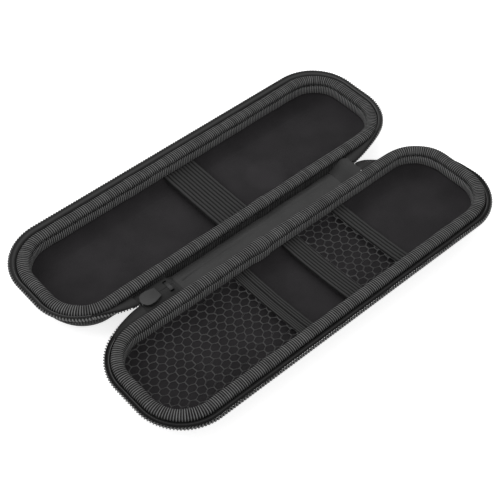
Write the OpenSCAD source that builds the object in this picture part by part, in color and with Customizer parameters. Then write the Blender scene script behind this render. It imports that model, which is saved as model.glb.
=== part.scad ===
// Zipped travel case for an electric toothbrush, lying open.
// X runs along the case, the base half lies on the -Y side, the lid half on the +Y side, +Z is up.
// Z = 0 is the surface that both halves lie on. All sizes are in millimetres.

/* [Case] */
// Length of the case over the zip teeth
case_l = 232; // [210:1:260]
// Width of one half over the zip teeth
half_w = 72; // [68:1:90]
// Height of one half, from the surface to the plane where the halves meet
half_h = 20; // [19.5:0.5:26]
// Corner radius of the zip line, seen from above
corner_r = 28; // [26:0.5:32]
// Distance between the zip lines of the open halves
zip_gap = 8.8; // [8:0.2:11]
// Room between pieces that are glued or sewn together
fit_gap = 0.1; // [0.05:0.05:0.2]
// Distance that the teeth keep from the plane where the halves meet
face_gap = 0.15; // [0.1:0.05:0.5]
// Distance that the rims keep from the plane where the halves meet
rim_gap = 0.6; // [0.4:0.05:0.8]

/* [Shell] */
// Distance from the zip line in to the rim at the ends
rim_inset = 4.2; // [3.6:0.1:5.4]
// How much nearer the rim stands to the hinge side than to the free side
rim_shift = 1; // [0:0.1:1.2]
// Thickness of the moulded foam shell
shell_t = 3.6; // [2.6:0.1:4.4]
// Outer radius between the wall and the bottom
bottom_r = 12; // [9:0.5:13]
// Inward lean of the lower wall, in degrees
wall_lean = 30; // [20:1:34]
// Height of the upright lining between the binding and the leaning wall
knee_drop = 0.3; // [0.1:0.1:0.8]

/* [Lining and binding] */
// Thickness of the brushed lining
lining_t = 0.5; // [0.3:0.1:0.8]
// Thickness of the ribbed binding tape
binding_t = 0.8; // [0.6:0.1:1.1]
// Height of the binding's folded sides
flap_h = 8.8; // [7:0.2:9]
// Thickness of the binding over the edge of the shell
crown_t = 1.4; // [0.9:0.1:2]
// Rise of the binding's rounded top
crown_rise = 1.6; // [1.2:0.1:2]
// Depth of the stitched groove below the top of the binding
groove_z = 3.3; // [2.6:0.1:4]
// How deep the stitches pull the binding in
groove_d = 0.4; // [0.2:0.05:0.5]

/* [Zip] */
// Thickness of the zip tape
tape_t = 0.6; // [0.4:0.1:0.9]
// Distance from the zip line in to the edge of the tape
tape_edge = 1.3; // [1:0.1:1.8]
// Height of the tape's sewn edge
tape_leg = 4.2; // [3:0.2:5]
// Width of one row of teeth
teeth_w = 2.6; // [2:0.1:3]
// Height of one row of teeth
teeth_h = 2.2; // [1.6:0.1:2.6]
// Depth of the gaps between the teeth
tooth_d = 1.1; // [0.6:0.1:1.3]
// Distance from tooth to tooth
tooth_pitch = 1.61; // [1.4:0.01:2.6]
// Distance from the hinge line at which the rows of teeth leave the shells
zip_cut = 6.6; // [6.4:0.1:8]

/* [Pockets] */
// Thickness of the elastic bands
band_t = 0.9; // [0.6:0.1:1.4]
// Left edge of the elastic band in the lid
lid_band_x = -10; // [-60:1:40]
// Width of the elastic band in the lid
lid_band_w = 21.6; // [12:0.2:40]
// Left edge of the large pocket's elastic band
large_band_x = -26.7; // [-40:0.5:-10]
// Width of the large pocket's elastic band
large_band_w = 9.7; // [6:0.1:12]
// Left edge of the wide band of the small pocket
wide_band_x = 6; // [2:0.5:12]
// Width of the wide band of the small pocket
wide_band_w = 11; // [8:0.1:14]
// Left edge of the narrow band of the small pocket
narrow_band_x = 42.5; // [38:0.5:60]
// Width of the narrow band of the small pocket
narrow_band_w = 8.6; // [6:0.1:12]
// How far the bands of the base lean along the case from one side to the other
band_lean = 1.6; // [0:0.1:3]
// Thickness of the nets
net_t = 0.4; // [0.3:0.1:0.8]
// Width of the threads between the gaps of the nets
thread_w = 0.8; // [0.6:0.05:1.2]
// Distance between the gaps of one row, along the case
cell_x = 5.32; // [5:0.02:8]
// Distance between the rows of gaps
cell_y = 3.7; // [3.5:0.1:6]

/* [Spine] */
// Left end of the spine strip
spine_left = -51.8; // [-60:0.2:-50]
// Right end of the spine strip
spine_right = 59.7; // [50:0.2:64]
// Thickness of the spine's outer fabric
spine_t = 0.7; // [0.5:0.1:1]
// Room between the spine strip and its two fold lines
fold_gap = 0.3; // [0.2:0.05:0.5]
// Half width of the tabs at the spine's two ends
tab_w = 5.2; // [4:0.1:6]
// Distance from the centre of the case to the outer end of the right tab
tab_x = 72; // [68:0.5:76]

/* [Slider] */
// Distance from the centre of the case to the centre of the slider
slider_x = 70.4; // [69:0.2:74]
// Length of the slider
slider_l = 10.8; // [9:0.2:12]
// Width of the slider
slider_w = 8.7; // [8.4:0.1:10]
// Height of the slider over its two plates
slider_h = 4.9; // [4.6:0.1:5.4]
// Thickness of the slider's plates
plate_t = 1.1; // [0.8:0.1:1.3]
// Height of the slider's upper plate over the fold lines while the case lies open
slider_lift = 5.8; // [5:0.1:5.9]
// Room around the teeth inside the slider
slide_gap = 0.25; // [0.15:0.05:0.4]
// Radius of the puller's pivot bar
pivot_r = 0.6; // [0.4:0.05:0.7]
// Length of the puller, from its pivot to its tip
puller_l = 10.5; // [9:0.5:11.5]
// Width of the puller's grip
grip_w = 7; // [6:0.2:8]
// Thickness of the puller's grip
grip_t = 1.6; // [1:0.1:1.8]

/* [Hidden] */
$fn = 36;

// Centres of the four corner arcs, which every closed line round a half shares
corner_x = case_l / 2 - corner_r;
corner_y = half_w / 2 - corner_r;

// Distance from the hinge line to the middle of the zip line and to the middle of the rim
zip_y = zip_gap / 2 + half_w / 2;
rim_y = zip_y - rim_shift;

// Corner radii of the layers of the rim, from the outside in
rim_r = corner_r - rim_inset;
shell_r = rim_r - binding_t - fit_gap;
lining_off = shell_t + fit_gap;
inner_off = lining_off + lining_t;
inner_r = shell_r - inner_off;
mouth_r = inner_r - fit_gap - binding_t;

// Fold lines of the spine: rim to rim they are as far apart as the closed case's back is high
fold_y = rim_y - corner_y - rim_r;
fold_z = half_h - fold_y;

// Heights of the rim
rim_top = half_h - rim_gap;
shell_top = rim_top - crown_t;
flap_bottom = rim_top - flap_h;

// Lower wall, from the bend below the binding down to the bottom
fillet_steps = 3;
crown_step = 45;
inner_knee_z = flap_bottom - knee_drop;
knee_z = inner_knee_z - inner_off * tan(wall_lean / 2);
fillet_x = shell_r + ((bottom_r - knee_z) * sin(wall_lean) - bottom_r) / cos(wall_lean);

// Zip
teeth_z = half_h - face_gap - teeth_h;
tape_z = teeth_z - tape_t;
leg_clear = 3;
leg_cut = fold_y + leg_clear;
cut_turn = asin((zip_y - corner_y - zip_cut) / corner_r);
cut_x = corner_x + corner_r * cos(cut_turn);
run_1 = corner_r * cut_turn * PI / 180;
run_2 = run_1 + 2 * corner_y;
run_3 = run_2 + corner_r * PI / 2;
run_all = 2 * (run_3 + corner_x);
tooth_count = round(run_all / tooth_pitch);
tooth_step = run_all / tooth_count;
corner_steps = 10;

// Bands and nets lie just below the binding's inner side
band_z = flap_bottom - fit_gap - band_t;
net_z = band_z + (band_t - net_t) / 2;
band_reach = corner_y + lining_r(band_z) - fit_gap;
net_r = lining_r(net_z) - fit_gap;
net_hem = 0.9;
cell_point = 2 * cell_y / 3;
cell_shoulder = cell_y / 3;

// Spine and zip end
spine_top = fold_z - face_gap;
spine_lining_z = spine_top - lining_t;
spine_z = spine_lining_z - fit_gap - spine_t;
spine_half = fold_y - fold_gap;
chain_z = fold_z + slider_lift - slider_h / 2;
chain_w = 2 * teeth_w + 0.6;
chain_margin = 2;
tab_step = 1;
tab_lap = 3;
mouth_x = slider_x + slider_l / 2;
end_gap = 0.3;
end_clear = 0.3;
end_drop = teeth_z + teeth_h / 2 - chain_z;
post_l = 2.4;
post_w = 1.6;
post_in = 0.8;
back_travel = 4;
chain_left = -(mouth_x - post_in - post_l - back_travel - slide_gap);
stop_l = 2;
stop_t = 0.4;
chain_right = spine_left - 3.8;
stop_x = chain_right - 2.9;

// Slider and puller
channel_w = chain_w + 2 * slide_gap;
bail_h = 2.2;
bail_t = 0.9;
bail_l = 6.2;
bail_w = 1.4;
plate_bottom = chain_z - slider_h / 2;
pivot_z = plate_bottom - bail_h / 2;
arm_w = 1;
arm_y = 1.6;
arm_l = 3.8;

shell_colour = [0.16, 0.15, 0.17];
lining_colour = [0.19, 0.18, 0.2];
binding_colour = [0.27, 0.27, 0.27];
tape_colour = [0.17, 0.17, 0.17];
teeth_colour = [0.24, 0.24, 0.24];
band_colour = [0.24, 0.24, 0.24];
net_colour = [0.25, 0.25, 0.26];
spine_colour = [0.28, 0.28, 0.28];
slider_colour = [0.3, 0.3, 0.3];
grip_colour = [0.2, 0.2, 0.2];

function reverse(list) = [for (i = [len(list) - 1 : -1 : 0]) list[i]];

// One line of the shell's section at a distance inside its outer face, from the bottom to the rim
function wall_line(off) = concat(
    [for (i = [0 : fillet_steps])
        let (a = -90 + (90 - wall_lean) * i / fillet_steps)
        [fillet_x + (bottom_r - off) * cos(a), bottom_r + (bottom_r - off) * sin(a)]],
    [[shell_r - off, knee_z + off * tan(wall_lean / 2)], [shell_r - off, shell_top]]
);

// Radius of the lining's inner face at a height above its curved foot
function lining_r(z) = inner_r - max(0, inner_knee_z - z) * tan(wall_lean);

// Section of a layer of the tray between two distances inside the shell's outer face
function layer(outer, inner) = concat(
    [[0, outer]], wall_line(outer), reverse(wall_line(inner)), [[0, inner]]
);

// Section of the binding: a rounded top over the edge of the shell, and two stitched-in sides
function binding_section() =
    let (
        half = (rim_r - mouth_r) / 2,
        middle = (rim_r + mouth_r) / 2,
        shoulder = rim_top - crown_rise,
        groove = rim_top - groove_z,
        notch = 0.6,
        slot_top = shell_top + fit_gap
    )
    concat(
        [[rim_r, flap_bottom], [rim_r, groove - notch], [rim_r - groove_d, groove],
            [rim_r, groove + notch]],
        [for (a = [0 : crown_step : 180]) [middle + half * cos(a), shoulder + crown_rise * sin(a)]],
        [[mouth_r, groove + notch], [mouth_r + groove_d, groove], [mouth_r, groove - notch],
            [mouth_r, flap_bottom]],
        [[mouth_r + binding_t, flap_bottom], [mouth_r + binding_t, slot_top],
            [shell_r + fit_gap, slot_top], [shell_r + fit_gap, flap_bottom]]
    );

// Point of the zip line of a half, at a distance along it and a distance inside it
function half_run(s, inset) =
    let (r = corner_r - inset)
    s < run_1 ? let (a = cut_turn - s / corner_r * 180 / PI)
        [corner_x + r * cos(a), corner_y + r * sin(a)]
    : s < run_2 ? [corner_x + r, corner_y - (s - run_1)]
    : s < run_3 ? let (a = -(s - run_2) / corner_r * 180 / PI)
        [corner_x + r * cos(a), -corner_y + r * sin(a)]
    : [corner_x - (s - run_3), -corner_y - r];

function zip_run(s, inset) =
    s <= run_all / 2 ? half_run(s, inset)
    : let (p = half_run(run_all - s, inset)) [-p[0], p[1]];

// Whether a point lies inside a rounded rectangle with the common corner centres
function inside(p, r) =
    let (dx = max(abs(p[0]) - corner_x, 0), dy = max(abs(p[1]) - corner_y, 0))
    dx * dx + dy * dy <= r * r;

// X of a leaning band's edge at a place across the base
function leaning(x, y) = x + band_lean * (band_reach - y) / (2 * band_reach);

// Rounded rectangle with the common corner centres
module plan(r) {
    for (sx = [-1, 1], sy = [-1, 1])
        translate([sx * corner_x, sy * corner_y])
            circle(r);
    square([2 * (corner_x + r), 2 * corner_y], center = true);
    square([2 * corner_x, 2 * (corner_y + r)], center = true);
}

// Straight length of a section that stands in the XZ plane
module run(length, section) {
    rotate([90, 0, 0])
        linear_extrude(length)
            polygon(section);
}

// A section swept round the four corners and along the four sides
module ring(section) {
    for (turn = [0, 180])
        rotate([0, 0, turn]) {
            translate([corner_x, corner_y, 0]) {
                rotate_extrude(angle = 90)
                    polygon(section);
                run(2 * corner_y, section);
            }
            translate([-corner_x, corner_y, 0])
                rotate([0, 0, 90]) {
                    rotate_extrude(angle = 90)
                        polygon(section);
                    run(2 * corner_x, section);
                }
        }
}

// One layer of the tray, with its flat bottom
module tray(outer, inner) {
    ring(layer(outer, inner));
    translate([-corner_x, -corner_y, outer])
        cube([2 * corner_x, 2 * corner_y, inner - outer]);
}

module at_base() {
    translate([0, -rim_y, 0])
        children();
}

module at_lid() {
    mirror([0, 1, 0])
        children();
}

// Tape: a flat part out to the teeth and a sewn edge on the outside of the binding
module zip_tape() {
    leg_r = rim_r + fit_gap;
    leg_section = [
        [leg_r, tape_z - tape_leg], [leg_r + tape_t, tape_z - tape_leg],
        [leg_r + tape_t, tape_z + tape_t], [leg_r, tape_z + tape_t]
    ];
    far = 2 * half_w;
    difference() {
        translate([0, -zip_y, tape_z])
            linear_extrude(tape_t)
                difference() {
                    plan(corner_r - tape_edge);
                    translate([0, rim_shift])
                        plan(leg_r);
                }
        translate([-cut_x, -rim_y, 0])
            cube([2 * cut_x, far, half_h]);
    }
    difference() {
        translate([0, -rim_y, 0])
            ring(leg_section);
        translate([-case_l, -leg_cut, 0])
            cube([2 * case_l, far, half_h]);
    }
}

// Row of teeth; phase 0 or 1 sets it off by half a tooth, so that the two rows mesh
module zip_teeth(phase) {
    teeth = [for (i = [0 : tooth_count - 1], k = [0, 1])
        zip_run((i + 0.25 + k / 2) * tooth_step, k == phase ? tooth_d : 0)];
    corner_stops = concat(
        [for (i = [0 : corner_steps]) run_1 * i / corner_steps],
        [for (i = [0 : corner_steps]) run_2 + (run_3 - run_2) * i / corner_steps]
    );
    stops = concat(corner_stops, [for (s = reverse(corner_stops)) run_all - s]);
    back = [for (s = reverse(stops)) zip_run(s, teeth_w)];
    translate([0, -zip_y, teeth_z])
        linear_extrude(teeth_h)
            polygon(concat([zip_run(0, tooth_d)], teeth, [zip_run(run_all, tooth_d)], back));
}

// End of the tape and teeth, from the corner to the slider or the tab; side is -1 or 1
module zip_end(side, end_x) {
    far_x = cut_x - fit_gap;
    far_y = -zip_cut;
    near_y = -end_gap;
    start = [-fit_gap, -zip_y];
    dip = asin(end_drop / (far_x - end_x));
    count = round((far_x - end_x) / tooth_pitch);
    step = (far_x - end_x) / count;
    slope = (near_y - far_y) / (end_x - far_x);
    edge = [for (i = [0 : count - 1], k = [0, 1])
        let (x = far_x - (i + 0.25 + k / 2) * step)
        [x, far_y + slope * (x - far_x) - (k == 0 ? tooth_d : 0)]];
    mirror([side < 0 ? 1 : 0, 0, 0])
        translate([far_x, 0, tape_z])
            rotate([0, -dip, 0])
                translate([-far_x, 0, 0]) {
                    translate([0, 0, tape_t])
                        linear_extrude(teeth_h)
                            polygon(concat(
                                [start + half_run(0, tooth_d)], edge,
                                [[end_x, near_y - tooth_d], [end_x, near_y - teeth_w]],
                                [start + half_run(0, teeth_w)]
                            ));
                    linear_extrude(tape_t)
                        difference() {
                            polygon([
                                [far_x, far_y - tape_edge], [end_x, near_y - tape_edge],
                                [end_x, -fold_y - fit_gap], [far_x, -leg_cut - tape_t]
                            ]);
                            translate([0, -rim_y])
                                plan(rim_r + end_clear);
                        }
                }
}

// Elastic band from wall to wall
module band(x, w, lean) {
    translate([0, 0, band_z])
        linear_extrude(band_t)
            polygon([
                [x, band_reach], [x + w, band_reach],
                [x + w + lean, -band_reach], [x + lean, -band_reach]
            ]);
}

// Net between two leaning edges, with rows of six-sided gaps
module net(left, right) {
    cell = [
        [0, cell_point - thread_w / 2], [cell_x / 2 - thread_w / 2, cell_shoulder - thread_w / 4],
        [cell_x / 2 - thread_w / 2, thread_w / 4 - cell_shoulder], [0, thread_w / 2 - cell_point],
        [thread_w / 2 - cell_x / 2, thread_w / 4 - cell_shoulder],
        [thread_w / 2 - cell_x / 2, cell_shoulder - thread_w / 4]
    ];
    rows = ceil(band_reach / cell_y);
    columns = ceil((right - left) / cell_x) + 1;
    reach = 2 * half_w;
    translate([0, 0, net_z])
        linear_extrude(net_t)
            difference() {
                intersection() {
                    plan(net_r);
                    polygon([
                        [leaning(left, reach), reach], [leaning(right, reach), reach],
                        [leaning(right, -reach), -reach], [leaning(left, -reach), -reach]
                    ]);
                }
                for (row = [-rows : rows], column = [0 : columns]) {
                    shift = row % 2 == 0 ? 0 : cell_x / 2;
                    x = right - net_hem - cell_x / 2 - column * cell_x - shift;
                    y = row * cell_y;
                    centre = [leaning(x, y), y];
                    corners = [for (p = cell) centre + p];
                    ends = [for (p = corners)
                        inside(p, net_r - net_hem) && p[0] > leaning(left, p[1]) + net_hem
                            && p[0] < leaning(right, p[1]) - net_hem / 2 ? 1 : 0];
                    if (min(ends) == 1)
                        polygon(corners);
                }
            }
}

// Strip along X with a stepped side view, drawn in the XZ plane and centred on the hinge line
module side_strip(half_width, outline) {
    translate([0, half_width, 0])
        rotate([90, 0, 0])
            linear_extrude(2 * half_width)
                polygon(outline);
}

module box_between(low, high) {
    translate(low)
        cube(high - low);
}

module base_shell() {
    color(shell_colour)
        at_base()
            tray(0, shell_t);
}

module base_lining() {
    color(lining_colour)
        at_base()
            tray(lining_off, inner_off);
}

module base_binding() {
    color(binding_colour)
        at_base()
            ring(binding_section());
}

module base_zip_tape() {
    color(tape_colour)
        zip_tape();
}

module base_zip_teeth() {
    color(teeth_colour)
        zip_teeth(0);
}

module base_zip_end_left() {
    color(teeth_colour)
        zip_end(-1, mouth_x + slide_gap + end_clear);
}

module base_zip_end_right() {
    color(teeth_colour)
        zip_end(1, tab_x + end_clear);
}

module large_pocket_net() {
    color(net_colour)
        at_base()
            net(-case_l, large_band_x - fit_gap);
}

module large_pocket_band() {
    color(band_colour)
        at_base()
            band(large_band_x, large_band_w, band_lean);
}

module small_pocket_net() {
    color(net_colour)
        at_base()
            net(wide_band_x + wide_band_w + fit_gap, narrow_band_x - fit_gap);
}

module small_pocket_wide_band() {
    color(band_colour)
        at_base()
            band(wide_band_x, wide_band_w, band_lean);
}

module small_pocket_narrow_band() {
    color(band_colour)
        at_base()
            band(narrow_band_x, narrow_band_w, band_lean);
}

module lid_shell() {
    at_lid()
        base_shell();
}

module lid_lining() {
    at_lid()
        base_lining();
}

module lid_binding() {
    at_lid()
        base_binding();
}

module lid_zip_tape() {
    at_lid()
        base_zip_tape();
}

module lid_zip_teeth() {
    color(teeth_colour)
        at_lid()
            zip_teeth(1);
}

module lid_zip_end_left() {
    at_lid()
        base_zip_end_left();
}

module lid_zip_end_right() {
    at_lid()
        base_zip_end_right();
}

module lid_band() {
    color(band_colour)
        at_lid()
            at_base()
                band(lid_band_x, lid_band_w, 0);
}

module spine_fabric() {
    color(spine_colour)
        box_between([spine_left, -spine_half, spine_z], [spine_right, spine_half, spine_z + spine_t]);
}

module spine_lining() {
    color(spine_colour)
        box_between([spine_left, -spine_half, spine_lining_z], [spine_right, spine_half, spine_top]);
}

// Tabs that climb from the ends of the spine to the ends of the zip
module spine_tab_left() {
    high = chain_z - teeth_h / 2 - fit_gap;
    color(spine_colour)
        side_strip(tab_w, [
            [spine_left - fit_gap, spine_top], [spine_left - fit_gap, spine_z],
            [spine_left - tab_step, spine_z], [chain_right - tab_step, high - spine_t],
            [chain_right - tab_lap, high - spine_t], [chain_right - tab_lap, high],
            [chain_right, high]
        ]);
}

module spine_tab_right() {
    high = chain_z + teeth_h / 2;
    run_out = tab_x - tab_lap;
    color(spine_colour)
        side_strip(tab_w, [
            [spine_right + fit_gap, spine_top], [spine_right + fit_gap, spine_z],
            [spine_right + tab_step, spine_z], [run_out, high - teeth_h], [tab_x, high - teeth_h],
            [tab_x, high], [run_out - tab_step, high]
        ]);
}

// Short meshed end of the zip behind the slider, on its two strips of tape
module zip_chain_end() {
    color(teeth_colour) {
        box_between(
            [chain_left, -chain_w / 2, chain_z - teeth_h / 2],
            [chain_right, chain_w / 2, chain_z + teeth_h / 2]
        );
        box_between(
            [chain_left, -chain_w / 2 - chain_margin, chain_z - tape_t / 2],
            [chain_right, chain_w / 2 + chain_margin, chain_z + tape_t / 2]
        );
    }
}

// Bent metal stop round the end of the chain
module zip_bottom_stop() {
    hole_w = chain_w / 2 + fit_gap;
    hole_h = teeth_h / 2 + fit_gap;
    slit = tape_t / 2 + fit_gap;
    leg_y = 0.8;
    color(slider_colour)
        translate([stop_x, 0, chain_z])
            difference() {
                box_between(
                    [-stop_l / 2, -hole_w - leg_y, hole_h - teeth_h],
                    [stop_l / 2, hole_w + leg_y, hole_h + stop_t]
                );
                box_between([-stop_l, -hole_w, -half_h], [stop_l, hole_w, hole_h]);
                box_between([-stop_l, -half_h, -half_h], [stop_l, half_h, slit]);
            }
}

// Slider: two plates joined by a post, with sides that keep the teeth in, and a bail below
module zip_slider() {
    half_l = slider_l / 2;
    half_slider = slider_w / 2;
    nose = 1.6;
    nose_in = 0.6;
    waist_x = 0.8;
    tail = half_slider - 1;
    lip = (slider_h - 2 * plate_t) / 2;
    slot = tape_t / 2 + slide_gap;
    outline = [
        [-half_l, 0], [nose - half_l, half_slider - nose_in],
        [2 * nose - half_l, half_slider], [waist_x, half_slider], [half_l, tail],
        [half_l, -tail], [waist_x, -half_slider], [2 * nose - half_l, -half_slider],
        [nose - half_l, nose_in - half_slider]
    ];
    color(slider_colour)
        translate([-slider_x, 0, chain_z]) {
            difference() {
                translate([0, 0, -slider_h / 2])
                    linear_extrude(slider_h)
                        polygon(outline);
                box_between([-slider_l, -channel_w / 2, -lip], [slider_l, channel_w / 2, lip]);
                box_between([-slider_l, -slider_w, -slot], [slider_l, slider_w, slot]);
            }
            box_between(
                [post_in - half_l, -post_w / 2, -lip],
                [post_in + post_l - half_l, post_w / 2, lip]
            );
            translate([0, 0, -slider_h / 2])
                difference() {
                    box_between(
                        [-bail_l / 2, -bail_w / 2, -bail_h - bail_t],
                        [bail_l / 2, bail_w / 2, 0]
                    );
                    box_between(
                        [bail_t - bail_l / 2, -bail_w, -bail_h],
                        [bail_l / 2 - bail_t, bail_w, 0]
                    );
                }
        }
}

// Pivot bar in the bail, with two arms down to the grip
module puller_frame() {
    arm_half = arm_y + arm_w;
    color(slider_colour)
        translate([-slider_x, 0, pivot_z]) {
            rotate([90, 0, 0])
                cylinder(r = pivot_r, h = 2 * arm_half, center = true);
            for (side = [-1, 1])
                translate([0, side * (arm_y + arm_w / 2), -arm_l / 2])
                    cube([2 * pivot_r, arm_w, arm_l], center = true);
            box_between([-pivot_r, -arm_half, -arm_l - arm_w], [pivot_r, arm_half, -arm_l]);
        }
}

// Flat grip with a rounded end
module puller_grip() {
    end_r = 2.4;
    half_grip = grip_w / 2;
    top = -arm_l - arm_w - fit_gap;
    color(grip_colour)
        translate([-slider_x + grip_t / 2, 0, pivot_z])
            rotate([0, -90, 0])
                linear_extrude(grip_t) {
                    for (side = [-1, 1])
                        translate([end_r - puller_l, side * (half_grip - end_r)])
                            circle(end_r);
                    translate([-puller_l, end_r - half_grip])
                        square([puller_l + top, grip_w - 2 * end_r]);
                    translate([end_r - puller_l, -half_grip])
                        square([puller_l - end_r + top, grip_w]);
                }
}

base_shell();
base_lining();
base_binding();
base_zip_tape();
base_zip_teeth();
base_zip_end_left();
base_zip_end_right();
large_pocket_net();
large_pocket_band();
small_pocket_net();
small_pocket_wide_band();
small_pocket_narrow_band();
lid_shell();
lid_lining();
lid_binding();
lid_zip_tape();
lid_zip_teeth();
lid_zip_end_left();
lid_zip_end_right();
lid_band();
spine_fabric();
spine_lining();
spine_tab_left();
spine_tab_right();
zip_chain_end();
zip_bottom_stop();
zip_slider();
puller_frame();
puller_grip();
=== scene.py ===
"""Looks of a zipped travel case for an electric toothbrush, lying open.

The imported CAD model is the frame. Every CAD node is stood for by a finer piece that is
built here in the same place. All lengths in this script are in millimetres of the row
frame, and mesh_object() turns them into metres.
"""

import math

import bmesh
import bpy
import numpy as np
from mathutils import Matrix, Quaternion, Vector

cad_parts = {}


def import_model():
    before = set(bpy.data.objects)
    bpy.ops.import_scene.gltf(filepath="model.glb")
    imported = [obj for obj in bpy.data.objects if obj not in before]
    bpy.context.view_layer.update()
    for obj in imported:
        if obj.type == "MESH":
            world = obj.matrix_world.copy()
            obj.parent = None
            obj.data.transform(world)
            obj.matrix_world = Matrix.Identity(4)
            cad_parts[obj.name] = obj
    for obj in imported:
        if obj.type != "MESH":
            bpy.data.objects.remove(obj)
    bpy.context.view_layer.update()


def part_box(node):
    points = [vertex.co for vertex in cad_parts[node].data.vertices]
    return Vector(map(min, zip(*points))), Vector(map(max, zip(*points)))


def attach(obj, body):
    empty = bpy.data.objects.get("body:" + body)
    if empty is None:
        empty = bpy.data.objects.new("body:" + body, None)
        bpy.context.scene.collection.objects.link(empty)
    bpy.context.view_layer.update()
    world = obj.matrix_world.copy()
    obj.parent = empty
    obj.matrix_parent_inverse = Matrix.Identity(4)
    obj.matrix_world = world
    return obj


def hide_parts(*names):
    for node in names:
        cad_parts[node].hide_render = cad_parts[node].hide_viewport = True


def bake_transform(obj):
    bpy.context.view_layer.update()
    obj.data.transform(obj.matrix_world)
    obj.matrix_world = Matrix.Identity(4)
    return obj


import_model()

MM = 0.001
SEED = 11
HALVES = ("base", "lid")


def span(node):
    """Lowest and highest corner of a CAD node."""
    low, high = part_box(node)
    return np.array(low) / MM, np.array(high) / MM


# ---------------------------------------------------------------- sizes read from the frame
CORNER_R = 28.0
zip_low, zip_high = span("base_zip_teeth")
rim_low, rim_high = span("base_binding")
shell_high = span("base_shell")[1]
lining_high = span("base_lining")[1]
net_low, net_high = span("large_pocket_net")
elastic_low, elastic_high = span("lid_band")
spine_high = span("spine_lining")[1]
slider_low, slider_high = span("zip_slider")
chain_low, chain_high = span("zip_chain_end")

CX = zip_high[0] - CORNER_R
RIM_R = rim_high[0] - CX
CY = (rim_high[1] - rim_low[1]) / 2 - RIM_R
RIM_Y = (rim_high[1] + rim_low[1]) / 2
ZIP_Y = zip_low[1] + CY + CORNER_R
RIM_TOP = rim_high[2]
FLAP_BOTTOM = rim_low[2]
SHELL_R = shell_high[0] - CX
SHELL_TOP = shell_high[2]
SHELL_T = 3.6
LINING_OFF = SHELL_R - (lining_high[0] - CX)
LINING_T = 0.5
INNER_R = SHELL_R - LINING_OFF - LINING_T
FIT_GAP = 0.1
BINDING_T = 0.8
MOUTH_R = INNER_R - FIT_GAP - BINDING_T
FOLD_Y = -rim_high[1]
ZIP_TOP = zip_high[2]
ZIP_CUT = -zip_high[1]
CUT_TURN = math.asin((-ZIP_Y - CY - ZIP_CUT) / CORNER_R)
CHAIN_Z = (chain_low[2] + chain_high[2]) / 2

# Wall of the shells
BOTTOM_R = 12.0
WALL_LEAN = math.radians(30)
INNER_KNEE_Z = FLAP_BOTTOM - 0.3
BAND_REACH = (elastic_high[1] - elastic_low[1]) / 2
NET_R = (net_high[1] - net_low[1]) / 2 - CY
KNEE_Z = INNER_KNEE_Z - (LINING_OFF + LINING_T) * math.tan(WALL_LEAN / 2)
FILLET_X = SHELL_R + ((BOTTOM_R - KNEE_Z) * math.sin(WALL_LEAN) - BOTTOM_R) / math.cos(WALL_LEAN)

# Binding
RIB_PITCH = 1.21
RIB_HEIGHT = 0.26
GROOVE_Z = RIM_TOP - 2.9
GROOVE_DEPTH = 0.7
JOIN_X = {"base": -8.0, "lid": 11.0}
JOIN_LAP = 4.5
JOIN_LIFT = {"base": 0.5, "lid": 0.3}

# Zip
TOOTH_PITCH = 1.61
COIL_LONG = 0.95
COIL_SHORT = 0.62
COIL_WIRE = 0.36
COIL_SLOPE = math.radians(42)
COIL_R = 26.98
COIL_Z = ZIP_TOP - 1.85
COIL_SIDES = 7
COIL_STEPS = 11
COIL_PHASE = {"base": 0.0, "lid": 0.5}
CORE_R = 0.5
COIL_OFF = COIL_SHORT + COIL_WIRE + 0.26
TAPE_T = 0.5
TAPE_EDGE = 0.85
MESHED_TAPE_T = 0.4
ZIP_END_X = {-1: 76.35, 1: 72.3}  # at the slider, and at the right tab
ZIP_END_Y = -1.6
SEAT_R = RIM_R + 0.1 + TAPE_T / 2
DROOP_SLOPE = math.radians(-70)
DROOP_DROP = 3.5
DROOP_RUN = 55.0

# Nets and bands
BAND_LEAN = 1.6  # how far a base band's ends are apart along X
CELL_X = 5.32
CELL_Y = 3.7
THREAD_W = 0.4
NET_SAG = 1.0
CELL_JITTER = 0.2
NET_T = 0.45
SMALLEST_GAP = 0.35  # share of a cell, below which the cell is closed

# How far the rim leans out at the base's right end
RIGHT_BULGE = 2.0

# Camera
VIEW_ANGLES = (-41.66, 49.92, 0.37)  # azimuth, elevation and roll in degrees
VIEW_TARGET = (-14.0, -11.2, 20.0)
VIEW_DISTANCE = 570.38
VIEW_LENS = 80.57


# ---------------------------------------------------------------- meshes
def grid_faces(rows, columns, wrap_rows=False, wrap_columns=False):
    """Quads of a grid of points, numbered row by row."""
    i = np.arange(rows if wrap_rows else rows - 1)
    j = np.arange(columns if wrap_columns else columns - 1)
    i, j = np.meshgrid(i, j, indexing="ij")
    after_i = (i + 1) % rows
    after_j = (j + 1) % columns
    quads = np.stack(
        [i * columns + j, after_i * columns + j, after_i * columns + after_j, i * columns + after_j],
        axis=-1,
    )
    return quads.reshape(-1, 4).tolist()


def swept_faces(count, columns):
    """Faces of a closed section swept along stations, with both ends shut."""
    faces = grid_faces(count, columns, wrap_columns=True)
    faces.append(list(range(columns)))
    faces.append(list(range((count - 1) * columns, count * columns)))
    return faces


def scene_object(name, data):
    obj = bpy.data.objects.new(name, data)
    bpy.context.scene.collection.objects.link(obj)
    return obj


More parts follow.
